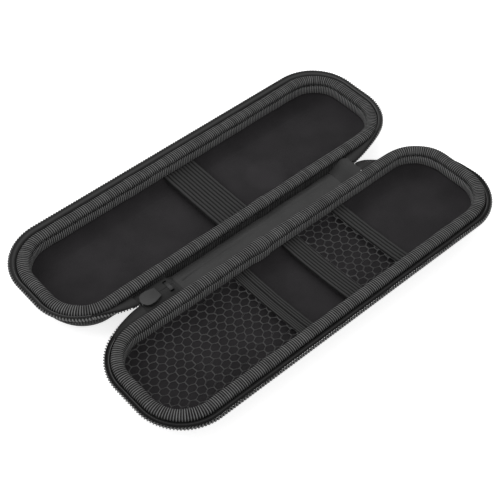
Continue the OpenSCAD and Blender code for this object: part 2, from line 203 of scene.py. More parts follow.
def mesh_object(name, points, faces, material, uv=None, crest=None, sharp=None, thickness=None):
    """A smooth-shaded mesh with normals that point out. Each point may have a place on its
    cloth (uv) and a shade (crest). Edges over the sharp angle, in degrees, stay crisp. An open
    mesh is given a thickness."""
    mesh = bpy.data.meshes.new(name)
    points = np.asarray(points, float).reshape(-1, 3)
    mesh.from_pydata((points * MM).tolist(), [], faces)
    working = bmesh.new()
    working.from_mesh(mesh)
    bmesh.ops.recalc_face_normals(working, faces=working.faces)
    if thickness is not None:
        bmesh.ops.solidify(working, geom=working.faces[:], thickness=thickness * MM)
    working.to_mesh(mesh)
    working.free()
    mesh.polygons.foreach_set("use_smooth", [True] * len(mesh.polygons))
    if sharp is not None:
        mesh.set_sharp_from_angle(angle=math.radians(sharp))
    if uv is not None:
        corners = np.zeros(len(mesh.loops), np.int32)
        mesh.loops.foreach_get("vertex_index", corners)
        layer = mesh.uv_layers.new(name="millimetres")
        layer.data.foreach_set("uv", np.asarray(uv, np.float32).reshape(-1, 2)[corners].ravel())
    if crest is not None:
        layer = mesh.attributes.new("crest", "FLOAT", "POINT")
        layer.data.foreach_set("value", np.asarray(crest, np.float32).ravel())
    mesh.materials.append(material)
    return scene_object(name, mesh)


def place(obj, body, slot, *cad_nodes):
    """Ride a piece on a body, in place of any CAD nodes, which are hidden. The slot is not used."""
    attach(obj, body)
    if cad_nodes:
        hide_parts(*cad_nodes)


def half_side(points, half):
    """Points of the base half, mirrored for the lid."""
    return np.asarray(points) * ((1, 1, 1) if half == "base" else (1, -1, 1))


def settled(points, half, share=1.0):
    """Points of a half whose rim leans out a little at the base's right end, as in use."""
    placed = half_side(points, half)
    if half == "base":
        placed[..., 0] += share * RIGHT_BULGE * smooth_step(placed[..., 0], 70, 108)
    return placed


def unit(vectors):
    """Vectors scaled to a length of 1."""
    return vectors / np.linalg.norm(vectors, axis=-1, keepdims=True)


def square_to(vectors, axes):
    """Unit vectors, turned to be square to unit axes."""
    return unit(vectors - axes * np.sum(vectors * axes, axis=1)[:, None])


def tube(path, radius, sides=8, closed=False, up=(0.0, 0.0, 1.0)):
    """Points and faces of a round tube along a path."""
    path = np.asarray(path, float)
    if closed:
        tangent = unit(np.roll(path, -1, 0) - np.roll(path, 1, 0))
    else:
        tangent = unit(np.gradient(path, axis=0))
    side = unit(np.cross(tangent, up))
    above = np.cross(side, tangent)
    turn = np.linspace(0, 2 * math.pi, sides, endpoint=False)
    rings = path[:, None] + radius * (
        np.cos(turn)[None, :, None] * side[:, None] + np.sin(turn)[None, :, None] * above[:, None]
    )
    if closed:
        faces = grid_faces(len(path), sides, wrap_rows=True, wrap_columns=True)
    else:
        faces = swept_faces(len(path), sides)
    return rings.reshape(-1, 3), faces


def join(parts):
    """One list of points and faces out of several."""
    points, faces, count = [], [], 0
    for some_points, some_faces in parts:
        points.append(some_points)
        faces.extend([[k + count for k in face] for face in some_faces])
        count += len(some_points)
    return np.concatenate(points), faces


def plate(outline, low, high, bevel, segments=3):
    """Points and faces of a flat plate with rounded edges."""
    working = bmesh.new()
    ring = [working.verts.new((x, y, low)) for x, y in outline]
    bottom = working.faces.new(ring)
    made = bmesh.ops.extrude_face_region(working, geom=[bottom])
    lifted = [v for v in made["geom"] if isinstance(v, bmesh.types.BMVert)]
    bmesh.ops.translate(working, verts=lifted, vec=(0, 0, high - low))
    bmesh.ops.bevel(
        working, geom=working.edges[:], offset=bevel, segments=segments, affect="EDGES", profile=0.6
    )
    working.verts.ensure_lookup_table()
    points = np.array([v.co[:] for v in working.verts])
    faces = [[v.index for v in f.verts] for f in working.faces]
    working.free()
    return points, faces


# ---------------------------------------------------------------- lines round a half
def loop_length(radius):
    return 4 * CX + 4 * CY + 2 * math.pi * radius


def walk(distance, radius, start_x=0.0):
    """Corner-arc centres and outward directions, in plan, at distances along the loop of that
    radius round a half. It starts on the hinge side at start_x and runs towards +X."""
    quarter = math.pi / 2
    knots = np.array([
        (start_x, CY, quarter), (CX, CY, quarter), (CX, CY, 0), (CX, -CY, 0),
        (CX, -CY, -quarter), (-CX, -CY, -quarter), (-CX, -CY, -2 * quarter),
        (-CX, CY, -2 * quarter), (-CX, CY, -3 * quarter), (start_x, CY, -3 * quarter),
    ])
    steps = np.abs(np.diff(knots, axis=0))
    along = np.concatenate([[0], np.cumsum(steps[:, 0] + steps[:, 1] + radius * steps[:, 2])])
    distance = np.asarray(distance, float) % along[-1]
    x, y, angle = (np.interp(distance, along, knots[:, k]) for k in range(3))
    return np.stack([x, y], 1), np.stack([np.cos(angle), np.sin(angle)], 1)


def rows_of(x, y, z):
    """Rows of points from coordinates that fit together."""
    return np.stack(np.broadcast_arrays(x, y, z), axis=2)


def around(stations, section_r, section_z, middle_y=RIM_Y):
    """Rows of points: a section of radii and heights at each station of walk()."""
    centre, normal = stations
    x = centre[:, :1] + section_r * normal[:, :1]
    y = centre[:, 1:] + section_r * normal[:, 1:] + middle_y
    return rows_of(x, y, section_z)


def smooth_step(value, low, high):
    t = np.clip((np.asarray(value, float) - low) / (high - low), 0, 1)
    return t * t * (3 - 2 * t)


def wander(distance, length, amount, seed):
    """Slow seeded waviness that closes on itself after a length."""
    random = np.random.default_rng(SEED + seed)
    total = np.zeros_like(np.asarray(distance, float))
    for wave in (3, 5, 8, 13, 21, 34):
        phase = random.uniform(0, 2 * math.pi)
        total = total + np.sin(2 * math.pi * wave * distance / length + phase) / math.sqrt(6)
    return amount * total


# ---------------------------------------------------------------- materials
def new_material(name, roughness, sheen=0.0, metallic=0.0, specular=0.5):
    """A Principled material, and its node tree and shader."""
    material = bpy.data.materials.new(name)
    material.use_nodes = True
    tree = material.node_tree
    shader = tree.nodes["Principled BSDF"]
    shader.inputs["Roughness"].default_value = roughness
    shader.inputs["Metallic"].default_value = metallic
    shader.inputs["Sheen Weight"].default_value = sheen
    shader.inputs["Sheen Roughness"].default_value = 0.5
    shader.inputs["Specular IOR Level"].default_value = specular
    return material, tree, shader


def node(tree, kind, settings=None, **inputs):
    """A shader node; inputs are values, or sockets to link."""
    made = tree.nodes.new("ShaderNode" + kind)
    for key, value in (settings or {}).items():
        setattr(made, key, value)
    for key, value in inputs.items():
        socket = made.inputs[int(key[1:])] if key[0] == "i" and key[1:].isdigit() else made.inputs[key]
        if isinstance(value, bpy.types.NodeSocket):
            tree.links.new(value, socket)
        else:
            socket.default_value = value
    return made


def stretched(tree, coordinates, scale):
    """Texture coordinates in millimetres times a scale for each axis."""
    return node(tree, "Mapping", Vector=coordinates, Scale=scale).outputs["Vector"]


def noise(tree, vector, detail=3.0):
    return node(tree, "TexNoise", Vector=vector, Scale=1.0, Detail=detail).outputs["Fac"]


def grain(tree, scale, detail=3.0):
    """Noise fixed to the piece, with a scale for each axis."""
    return noise(tree, stretched(tree, node(tree, "TexCoord").outputs["Object"], scale), detail)


def crest_of(tree):
    """The crest attribute at each point: painted highlight and shade on the binding, bands, zip tape and
    coil, and a lighter round patch on the lid's lining.
    """
    return node(tree, "Attribute", {"attribute_name": "crest"}).outputs["Fac"]


def math_node(tree, operation, first, second):
    return node(tree, "Math", {"operation": operation}, i0=first, i1=second).outputs[0]


def bump(tree, shader, height, strength, distance):
    made = node(tree, "Bump", Strength=strength, Distance=distance * MM, Height=height)
    tree.links.new(made.outputs["Normal"], shader.inputs["Normal"])


def colour_by(tree, shader, factor, low, high, tint=(1.0, 1.0, 1.0)):
    """Base colour between two greys. Each of low and high is a factor and its grey."""
    made = node(tree, "ValToRGB", Fac=factor)
    for element, (position, grey) in zip(made.color_ramp.elements, (low, high)):
        element.position = position
        element.color = (*(grey * t for t in tint), 1)
    tree.links.new(made.outputs["Color"], shader.inputs["Base Color"])


def ribbed_material(name, dark, light, roughness=0.8, thread=0.22, power=1.0):
    """Woven tape or elastic: a painted highlight on the crests of its ribs and painted shade between
    them, with fine threads.
    """
    material, tree, shader = new_material(name, roughness, sheen=0.02, specular=0.25)
    cloth = node(tree, "TexCoord").outputs["UV"]
    threads = noise(tree, stretched(tree, cloth, (1 / thread, 1 / (4 * thread), 1)), detail=2)
    patches = noise(tree, stretched(tree, cloth, (0.12, 0.25, 1)))
    crest = math_node(tree, "POWER", crest_of(tree), power)
    tone = math_node(tree, "ADD", crest, math_node(tree, "MULTIPLY", threads, 0.3))
    tone = math_node(tree, "ADD", tone, math_node(tree, "MULTIPLY", patches, 0.2))
    tone = math_node(tree, "DIVIDE", tone, 1.5)
    colour_by(tree, shader, tone, (0.14, dark), (0.9, light))
    bump(tree, shader, threads, 0.5, 0.12)
    return material


def cloth_material(name, dark, light, thread, roughness=0.9, sheen=0.1, tint=(1, 1, 1)):
    """Plain matt cloth with a fine grain and soft patches."""
    material, tree, shader = new_material(name, roughness, sheen=sheen)
    fine = grain(tree, (1000 / thread,) * 3, detail=2)
    soft = grain(tree, (70, 70, 70), detail=2)
    tone = math_node(tree, "ADD", fine, soft)
    tone = math_node(tree, "MULTIPLY", tone, 0.5)
    colour_by(tree, shader, tone, (0.25, dark), (0.75, light), tint)
    bump(tree, shader, fine, 0.6, 0.1)
    return material


def lining_material():
    """Brushed knit: fuzzy, slightly purple, with a soft sheen and a few light fibres."""
    material, tree, shader = new_material("brushed_lining", 1.0, sheen=0.12, specular=0.2)
    fine = grain(tree, (2600, 3400, 2600), detail=4)
    soft = grain(tree, (60, 60, 60))
    tone = math_node(tree, "MULTIPLY", math_node(tree, "ADD", fine, soft), 0.5)
    tone = math_node(tree, "ADD", tone, math_node(tree, "MULTIPLY", crest_of(tree), 0.16))
    colour_by(tree, shader, tone, (0.3, 0.016), (0.8, 0.038), (1.0, 0.93, 1.0))
    bump(tree, shader, fine, 0.5, 0.15)
    return material


def tape_material():
    """Fine woven tape, darker where the crest attribute is high: painted shade in its valley and at its
    edge, and a painted highlight along a stripe where it is low.
    """
    material, tree, shader = new_material("zip_tape_weave", 0.9, sheen=0.02, specular=0.2)
    weave = grain(tree, (2800, 2800, 2800), detail=2)
    tone = math_node(tree, "SUBTRACT", math_node(tree, "MULTIPLY", weave, 0.4), crest_of(tree))
    tone = math_node(tree, "ADD", tone, 0.8)
    colour_by(tree, shader, tone, (0.0, 0.004), (1.0, 0.06))
    bump(tree, shader, weave, 0.5, 0.1)
    return material


def coil_material():
    """Nylon coil: smooth and a little glossy, lighter where the crest attribute is high, which paints a
    highlight on the heads.
    """
    material, tree, shader = new_material("nylon_coil", 0.34, specular=0.5)
    tone = math_node(tree, "MULTIPLY", grain(tree, (300, 300, 300)), 0.2)
    tone = math_node(tree, "ADD", crest_of(tree), tone)
    colour_by(tree, shader, tone, (0.1, 0.004), (1.0, 0.16))
    return material


def smooth_material(name, roughness, marks, dark, light, dents=0.0, metallic=0.0):
    """Metal, paint or rubber: one tone with faint marks, given by their scale on each axis."""
    material, tree, shader = new_material(name, roughness, metallic=metallic)
    marks = grain(tree, marks)
    colour_by(tree, shader, marks, (0.3, dark), (0.7, light))
    if dents:
        bump(tree, shader, marks, dents, 0.05)
    return material


SHELL_CLOTH = cloth_material("shell_cloth", 0.02, 0.036, 0.45, tint=(1, 0.98, 1.02))
LINING_CLOTH = lining_material()
BINDING_TAPE = ribbed_material("binding_tape", 0.0005, 0.25, power=2.8)
STITCH_THREAD = cloth_material("stitch_thread", 0.06, 0.12, 0.3, roughness=0.6, sheen=0.0)
ZIP_TAPE = tape_material()
COIL_NYLON = coil_material()
NET_THREAD = cloth_material("net_thread", 0.04, 0.07, 0.25, roughness=0.7)
ELASTIC = ribbed_material("elastic_weave", 0.002, 0.044, thread=0.3, power=1.3)
SPINE_CLOTH = cloth_material("spine_cloth", 0.033, 0.054, 0.4, roughness=0.75)
# Painted shade: a darker copy of the spine cloth, for the tabs, which lie lower.
SHADED_TAB_CLOTH = cloth_material("tab_cloth_painted_shade", 0.022, 0.036, 0.4, roughness=0.8)
METAL = smooth_material("dark_plated_metal", 0.4, (400, 2500, 400), 0.05, 0.08, metallic=1.0)
PAINT = smooth_material("satin_paint", 0.45, (250, 250, 250), 0.021, 0.028, dents=0.15)
RUBBER = smooth_material("grip_rubber", 0.62, (900, 900, 900), 0.025, 0.035, dents=0.3)


# ---------------------------------------------------------------- shells and linings
def wall_line(off):
    """Radii and heights of the wall at a distance inside the shell's outer face."""
    steps = np.linspace(0, 1, 9)
    turn = -math.pi / 2 + (math.pi / 2 - WALL_LEAN) * steps
    r = FILLET_X + (BOTTOM_R - off) * np.cos(turn)
    z = BOTTOM_R + (BOTTOM_R - off) * np.sin(turn)
    knee = KNEE_Z + off * math.tan(WALL_LEAN / 2)
    upright = np.linspace(knee, SHELL_TOP, 5)
    r = np.concatenate([r, np.full(5, SHELL_R - off)])
    z = np.concatenate([z, upright])
    return r, z


def tray(name, half, outer, inner, material, sag=0.0):
    """A layer of the tray between two distances inside the shell's outer face. Its floor is
    wavy by the sag."""
    count = 260
    distance = np.linspace(0, loop_length(SHELL_R), count, endpoint=False)
    stations = walk(distance, SHELL_R)
    shares = np.linspace(0.04, 0.96, 22)
    layers = []
    for off in (outer, inner):
        wall = around(stations, *wall_line(off)).transpose(1, 0, 2)
        edge = wall[0] - (0, RIM_Y, 0)
        floor = [edge * (t, t, 1) + (0, RIM_Y, 0) for t in shares]
        layers.append(np.concatenate([floor, wall]))
    rows = np.concatenate([layers[0], layers[1][::-1]])
    in_floor = np.arange(len(layers[0])) < len(shares)
    floor_row = np.concatenate([in_floor, in_floor[::-1]])
    ripple = np.sin(rows[..., 0] / 9.0 + 1.3) * np.sin(rows[..., 1] / 7.0 + 0.4)
    rows[..., 2] += sag * (0.5 + 0.5 * ripple) * floor_row[:, None]
    faces = swept_faces(len(rows), count)
    reach = np.hypot(rows[..., 0] - 38, rows[..., 1] + 34)
    mark = (1 - smooth_step(reach, 9, 13)) * (half == "lid")
    return mesh_object(name, settled(rows, half), faces, material, crest=mark)


def shell(half):
    obj = tray(half + "_shell_cover", half, 0.0, SHELL_T, SHELL_CLOTH)
    place(obj, half, "shell_fabric", half + "_shell")


def lining(half):
    inner = LINING_OFF + LINING_T
    obj = tray(half + "_brushed_lining", half, LINING_OFF, inner, LINING_CLOTH, sag=0.25)
    place(obj, half, "lining", half + "_lining")


# ---------------------------------------------------------------- binding
def binding_section():
    """Radii, heights and outward directions of the binding's shown side, from the outer flap's
    bottom over the top to the inner flap's bottom, and how strongly each point is ribbed."""
    middle = (RIM_R + MOUTH_R) / 2
    half = (RIM_R - MOUTH_R) / 2
    shoulder = RIM_TOP - 1.7
    arch = np.linspace(0, math.pi, 13)
    crown_r = middle + half * np.sign(np.cos(arch)) * np.abs(np.cos(arch)) ** 0.8
    crown_z = shoulder + (RIM_TOP - shoulder) * np.sin(arch) ** 0.85
    notch = 0.8
    side_z = np.array([
        FLAP_BOTTOM, FLAP_BOTTOM + 0.5, (FLAP_BOTTOM + GROOVE_Z) / 2, GROOVE_Z - notch,
        GROOVE_Z - 0.25, GROOVE_Z, GROOVE_Z + 0.25,
    ])
    bulge = np.array([0.15, 0.0, -0.1, 0.1, 0.5 * GROOVE_DEPTH, GROOVE_DEPTH, 0.4 * GROOVE_DEPTH])
    outer_r = RIM_R - bulge
    inner_r = MOUTH_R + bulge
    r = np.concatenate([outer_r, crown_r, inner_r[::-1]])
    z = np.concatenate([side_z, crown_z, side_z[::-1]])
    rib = np.concatenate([[0.6, 1, 1, 0.9, 0.4, 0.1, 0.4], np.ones(13), [0.4, 0.1, 0.4, 0.9, 1, 1, 0.6]])
    tangent = unit(np.stack([np.gradient(r), np.gradient(z)], 1))
    out = np.stack([tangent[:, 1], -tangent[:, 0]], 1)
    return r, z, out, rib


def binding(half):
    """Ribbed tape folded over the rim and stitched down, with its two ends overlapping."""
    reference = (RIM_R + MOUTH_R) / 2
    length = loop_length(reference)
    rib_count = round(length / RIB_PITCH)
    pitch = length / rib_count
    lap_ribs = round(JOIN_LAP / pitch)
    phases = np.array([0, 0.2, 0.5, 0.8])
    heights = np.array([0, 0.75, 1, 0.75])
    rib_painted_highlight = np.array([0, 0.3, 1, 0.3])
    ribs = np.arange(rib_count + lap_ribs)
    distance = ((ribs[:, None] + phases) * pitch).ravel()
    height = np.tile(heights, len(ribs))
    uneven = np.repeat(np.random.default_rng(SEED + len(half)).uniform(0.9, 1.08, len(ribs)), 4)
    r, z, out, rib = binding_section()
    lift = JOIN_LIFT[half] * smooth_step(distance, length - 7, length - 0.5)
    sink = np.where(distance < JOIN_LAP, 0.25 * (1 - smooth_step(distance, 0, JOIN_LAP)), 0)
    swell = wander(distance, length, 0.13, 1 if half == "base" else 2)
    offset = (lift - sink + swell)[:, None] + RIB_HEIGHT * height[:, None] * rib
    groove_shift = groove_wander(distance, length, half)
    near_groove = np.exp(-((z - GROOVE_Z) / 1.2) ** 2)
    all_r = r + offset * out[:, 0]
    all_z = z + offset * out[:, 1] + groove_shift[:, None] * near_groove
    under_z = SHELL_TOP + FIT_GAP
    back_r = np.array([MOUTH_R + BINDING_T, MOUTH_R + BINDING_T, SHELL_R + FIT_GAP, SHELL_R + FIT_GAP])
    back_z = np.array([FLAP_BOTTOM, under_z, under_z, FLAP_BOTTOM])
    stations = walk(distance, reference, JOIN_X[half])
    count = len(distance)
    shown = around(stations, all_r, all_z)
    back = around(stations, back_r, back_z)
    rows = np.concatenate([shown, back], axis=1)
    run_v = np.concatenate([[0], np.cumsum(np.hypot(np.diff(r), np.diff(z)))])
    run_v = np.concatenate([run_v, run_v[-1] + np.array([0.8, 8, 13, 21])])
    uv = np.stack(np.broadcast_arrays(distance[:, None], run_v[None]), axis=2)
    # Painted light: the rib crests get a painted highlight, and the valleys and the grooves get painted
    # shade. The outer flap is painted darker as in shade, and the inner flap lighter as lit.
    tone = np.tile(rib_painted_highlight, len(ribs)) * uneven
    light = np.concatenate([np.full(7, 0.75), np.ones(13), np.full(7, 1.7)])
    crest = np.concatenate([tone[:, None] * rib * light, np.zeros((count, 4))], axis=1)
    faces = swept_faces(count, rows.shape[1])
    name = half + "_rim_binding"
    obj = mesh_object(name, settled(rows, half), faces, BINDING_TAPE, uv=uv, crest=crest)
    place(obj, half, "binding", half + "_binding")


def groove_wander(distance, length, half):
    """How far the stitched groove strays up and down."""
    seed = 3 if half == "base" else 4
    return wander(distance, length, 0.24, seed) + wander(distance * 4, length, 0.16, seed + 7)


def stitches(half):
    """Short lengths of thread in the binding's two grooves."""
    reference = (RIM_R + MOUTH_R) / 2
    length = loop_length(reference)
    pitch = 3.1
    steps = np.linspace(-0.5, 0.5, 5)
    centres = np.arange(0, length, pitch)
    shift = groove_wander(centres, length, half)
    parts = []
    for radius, inward in ((RIM_R, 1), (MOUTH_R, -1)):
        seat = radius - inward * (GROOVE_DEPTH - 0.3)
        for start, rise in zip(centres, shift):
            stations = walk(start + steps * pitch * 0.66, reference, JOIN_X[half])
            path_r = seat - inward * 0.32 * (2 * steps) ** 4
            path = around(stations, path_r[:, None], GROOVE_Z + rise)[:, 0]
            parts.append(tube(path, 0.17, sides=5))
    points, faces = join(parts)
    obj = mesh_object(half + "_binding_stitches", settled(points, half), faces, STITCH_THREAD)
    place(obj, half, "binding")


# ---------------------------------------------------------------- zip
def coil_steps(start, end):
    """Distances along a coil with a whole number of turns, and the same steps in each."""
    return np.linspace(start, end, round((end - start) / TOOTH_PITCH) * COIL_STEPS + 1)


def corded_coil(centre, head, away, distance, phase):
    """A wire coiled round a line, with the cord that runs inside its loops: points, faces, and how light
    each point is. The heads carry a painted highlight, and the cord is dark. Heads point along head, and
    away is the direction from the tape through the coil."""
    turn = 2 * math.pi * (distance / TOOTH_PITCH + phase)
    reach = COIL_LONG * np.cos(turn)[:, None] * head + COIL_SHORT * np.sin(turn)[:, None] * away
    path = centre + reach
    tangent = unit(np.gradient(path, axis=0))
    outward = square_to(unit(reach), tangent)
    across = np.cross(tangent, outward)
    at_head = np.clip(np.cos(turn), 0, 1)
    wide = COIL_WIRE * (1 + 0.15 * at_head ** 6)
    angle = np.linspace(0, 2 * math.pi, COIL_SIDES, endpoint=False)
    rings = path[:, None] + (
        COIL_WIRE * np.cos(angle)[None, :, None] * outward[:, None]
        + wide[:, None, None] * np.sin(angle)[None, :, None] * across[:, None]
    )
    coil = rings.reshape(-1, 3), swept_faces(len(path), COIL_SIDES)
    cord = tube(centre[::6], CORE_R, sides=6)
    # Painted highlight on the coil's heads.
    light = 0.1 + 0.9 * at_head ** 2
    light = np.concatenate([np.repeat(light, COIL_SIDES), np.zeros(len(cord[0]))])
    points, faces = join([coil, cord])
    return points, faces, light


def zip_limits(radius):
    """Distances along the loop at which the zip meets and leaves the corner cuts."""
    first = CX + radius * (math.pi / 2 - CUT_TURN)
    return first, loop_length(radius) - first


def droop_at(half, distance):
    """How far the zip hangs down: it does so at the base's right corner on the hinge side."""
    start = zip_limits(COIL_R)[0]
    hangs = 1 - smooth_step(distance, start, start + DROOP_RUN)
    return hangs if half == "base" else 0 * hangs


def slope_at(droop):
    """Slope of the tape from the rim outwards."""
    return COIL_SLOPE + droop * (DROOP_SLOPE - COIL_SLOPE)


def bend_height(droop):
    """Height where the tape turns away from the rim."""
    edge_z = COIL_Z + TAPE_EDGE * math.sin(COIL_SLOPE) + COIL_OFF * math.cos(COIL_SLOPE)
    return edge_z - tape_reach() * math.sin(COIL_SLOPE) - DROOP_DROP * droop


def tape_reach():
    """Length of the tape from its bend to its free edge."""
    edge_r = COIL_R + TAPE_EDGE * math.cos(COIL_SLOPE) - COIL_OFF * math.sin(COIL_SLOPE)
    return (edge_r - SEAT_R) / math.cos(COIL_SLOPE)


def coil_place(droop):
    """Radius and height of the coil's centre line."""
    slope = slope_at(droop)
    along = tape_reach() - TAPE_EDGE
    r = SEAT_R + along * np.cos(slope) + COIL_OFF * np.sin(slope)
    z = bend_height(droop) + along * np.sin(slope) - COIL_OFF * np.cos(slope)
    return r, z


def slope_frame(normal, droop):
    """Head direction and away direction of the coil for outward directions in plan."""
    slope = np.broadcast_to(slope_at(droop), (len(normal),))[:, None]
    flat = np.concatenate([normal, np.zeros((len(normal), 1))], axis=1)
    up = np.array([0.0, 0.0, 1.0])
    head = flat * np.cos(slope) + up * np.sin(slope)
    away = flat * np.sin(slope) - up * np.cos(slope)
    return head, away


def zip_coil(half):
    """The row of teeth round the free sides of a half: a nylon coil with its sewing thread."""
    start, end = zip_limits(COIL_R)
    distance = coil_steps(start, end)
    stations = walk(distance, COIL_R)
    droop = droop_at(half, distance)
    coil_r, coil_z = coil_place(droop)
    line = around(stations, coil_r[:, None], coil_z[:, None], ZIP_Y)[:, 0]
    head, away = slope_frame(stations[1], droop)
    points, faces, light = corded_coil(line, head, away, distance - start, COIL_PHASE[half])
    obj = mesh_object(half + "_zip_coil", half_side(points, half), faces, COIL_NYLON, crest=light)
    place(obj, half, "zip_teeth", half + "_zip_teeth")
    seam = line - head * 0.95 - away * (COIL_OFF + 0.2)
    thread = seam[::4] + away[::4] * 0.08 * np.cos(distance[::4] * 4)[:, None]
    points, faces = tube(thread, 0.2, sides=6)
    obj = mesh_object(half + "_zip_seam", half_side(points, half), faces, STITCH_THREAD)
    place(obj, half, "zip_tape")


def tape_section(leg, droop):
    """Centre line of the tape, from the bottom of its sewn edge to its free edge over the coil,
    as radii and heights, with the share of the way to the zip's own loop and the shade."""
    bend = bend_height(droop)
    slope = slope_at(droop)
    share = np.array([0.08, 0.2, 0.35, 0.5, 0.62, 0.75, 0.88, 1.0])
    reach = tape_reach() * share
    round_in = 0.5 * (1 - np.clip(share / 0.35, 0, 1)) ** 2
    legs = bend[:, None] - 0.6 - leg * np.array([1.0, 0.66, 0.33, 0.08])
    r = np.concatenate([np.full((len(bend), 4), SEAT_R), SEAT_R + reach * np.cos(slope)[:, None]], axis=1)
    z = np.concatenate([legs, bend[:, None] - round_in + reach * np.sin(slope)[:, None]], axis=1)
    share = np.concatenate([np.zeros(4), share])
    # Painted light across the tape: painted shade on the legs and in the valley, a painted highlight
    # stripe past the middle, and darker again towards the edge.
    shade = np.array([1.0, 1.0, 1.0, 1.0, 1.0, 1.0, 0.8, 0.25, 0.05, 0.6, 0.75, 0.8])
    return r, z, share, shade


def thick_rows(rows, thickness):
    """A strip of rows of points turned into a closed strip of that thickness."""
    shift = unit(np.cross(np.gradient(rows, axis=0), np.gradient(rows, axis=1))) * thickness / 2
    closed = np.concatenate([rows + shift, (rows - shift)[:, ::-1]], axis=1)
    return closed, swept_faces(*closed.shape[:2])


def zip_tape(half):
    start, end = zip_limits(COIL_R)
    distance = np.linspace(start, end, 420)
    stations = walk(distance, COIL_R)
    r, z, share, shade = tape_section(4.0, droop_at(half, distance))
    rows = around(stations, r, z)
    rows[..., 1] += (ZIP_Y - RIM_Y) * share
    from_cut = np.minimum(distance - start, end - distance)
    leg_share = smooth_step(from_cut, 1, 14)
    leg = np.clip(rows[..., 2] - z[:, 4:5], None, 0) * (1 - leg_share)[:, None]
    rows[..., 2] -= leg * 0.9
    rows[..., 2] += wander(distance, end, 0.08, 5 if half == "base" else 6)[:, None] * share
    closed, faces = thick_rows(rows, TAPE_T)
    # Painted shade: the base's tape is darkened all over, and the lid's is lightened.
    shade = shade + (0.4 if half == "base" else -0.15)
    shade = np.tile(np.concatenate([shade, shade[::-1]]), (len(distance), 1))
    follows = 1 - np.concatenate([share, share[::-1]])
    name = half + "_zip_tape_band"
    obj = mesh_object(name, settled(closed, half, follows), faces, ZIP_TAPE, crest=shade, sharp=60)
    place(obj, half, "zip_tape", half + "_zip_tape")


def bezier(points, t):
    """Points on a cubic curve."""
    a, b, c, d = (np.asarray(p, float) for p in points)
    t = np.asarray(t)[:, None]
    return a * (1 - t) ** 3 + 3 * b * t * (1 - t) ** 2 + 3 * c * t * t * (1 - t) + d * t ** 3


def zip_end(half, side):
    """The zip from a corner to the slider, or to the tab at the other end; side is -1 or 1."""
    end_x = ZIP_END_X[side]
    droop = np.array([1.0 if half == "base" and side > 0 else 0.0])
    turn = np.array([[math.cos(CUT_TURN), math.sin(CUT_TURN)]])
    coil_r, coil_z = (float(v[0]) for v in coil_place(droop))
    start = np.array([CX + coil_r * turn[0, 0], CY + coil_r * turn[0, 1] + ZIP_Y, coil_z])
    end = np.array([end_x, ZIP_END_Y, CHAIN_Z])
    leave = np.array([-turn[0, 1], turn[0, 0], 0]) * (8 - 2 * droop[0])
    arrive = np.array([-7.0, 0.6, -0.3])
    curve = [start, start + leave, end - arrive, end]
    rough = bezier(curve, np.linspace(0, 1, 200))
    run = np.concatenate([[0], np.cumsum(np.linalg.norm(np.diff(rough, axis=0), axis=1))])
    distance = coil_steps(0, run[-1])
    t = np.interp(distance, run, np.linspace(0, 1, 200))
    line = bezier(curve, t)
    head_0, away_0 = slope_frame(turn, droop)
    ease = smooth_step(t, 0.4 * droop[0], 0.9 + 0.1 * droop[0])[:, None]
    head = unit(head_0 * (1 - ease) + np.array([0, 1.0, 0]) * ease)
    away = square_to(away_0 * (1 - ease) + np.array([0, 0, -1.0]) * ease, head)
    coil, coil_faces, light = corded_coil(line, head, away, distance, COIL_PHASE[half])
    few = slice(None, None, COIL_STEPS)
    edge_out = TAPE_EDGE + (0.25 * smooth_step(t[few], 0, 0.3))[:, None]
    edge = line[few] + head[few] * edge_out - away[few] * COIL_OFF
    rim_x = (CX + SEAT_R * turn[0, 0]) + (end_x - CX - SEAT_R * turn[0, 0]) * t[few]
    bow = np.sqrt(np.clip(SEAT_R ** 2 - np.clip(rim_x - CX, 0, None) ** 2, 0, None))
    bend = float(bend_height(droop)[0])
    rim_z = bend + (CHAIN_Z - bend) * smooth_step(t[few], 0, 1)
    rim = np.stack([rim_x, CY + bow + RIM_Y, rim_z], axis=1)
    shares = np.linspace(0, 1, 6)[None, :, None]
    rows = rim[:, None] * (1 - shares) + edge[:, None] * shares
    closed, faces = thick_rows(rows, TAPE_T)
    # Painted shade across the tape, darkest at the rim and at the coil, lighter between.
    shade = np.tile([0.8, 0.6, 0.45, 0.4, 0.5, 0.7] * 2, (len(rows), 1))
    flip = (side, 1, 1)
    name = "left" if side < 0 else "right"
    coil_obj = mesh_object(
        f"{half}_zip_end_coil_{name}", half_side(coil * flip, half), coil_faces, COIL_NYLON,
        crest=light,
    )
    tape_obj = mesh_object(
        f"{half}_zip_end_tape_{name}", half_side(closed * flip, half), faces, ZIP_TAPE,
        crest=shade, sharp=60,
    )
    for obj, slot in ((coil_obj, "zip_teeth"), (tape_obj, "zip_tape")):
        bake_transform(obj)
    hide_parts(f"{half}_zip_end_{name}")


# ---------------------------------------------------------------- nets and bands
def leaning(x, y):
    """X of a base band's edge at a place across the base; y is from the base's middle."""
    return x + BAND_LEAN * (BAND_REACH - y) / (2 * BAND_REACH)


def leaning_edge(cad_node, after=False):
    """The edge of a leaning band at the hinge side, from which leaning() is measured."""
    low, high = span(cad_node)
    return high[0] - BAND_LEAN + FIT_GAP if after else low[0] - FIT_GAP


def clip(polygon, inside):
    """The part of a convex polygon on the inner side of a line; inside(p) is 0 on the line."""
    kept = []
    for k, point in enumerate(polygon):
        before = polygon[k - 1]
        value, value_before = inside(point), inside(before)
        if (value >= 0) != (value_before >= 0):
            share = value_before / (value_before - value)
            kept.append(before + (point - before) * share)
        if value >= 0:
            kept.append(point)
    return kept


def finer(cell):
    """A polygon with two more points on each side, so that its corners stay crisp."""
    points = []
    for k, point in enumerate(cell):
        after = cell[(k + 1) % len(cell)]
        points.extend([point, point + (after - point) * 0.22, point + (after - point) * 0.78])
    return points


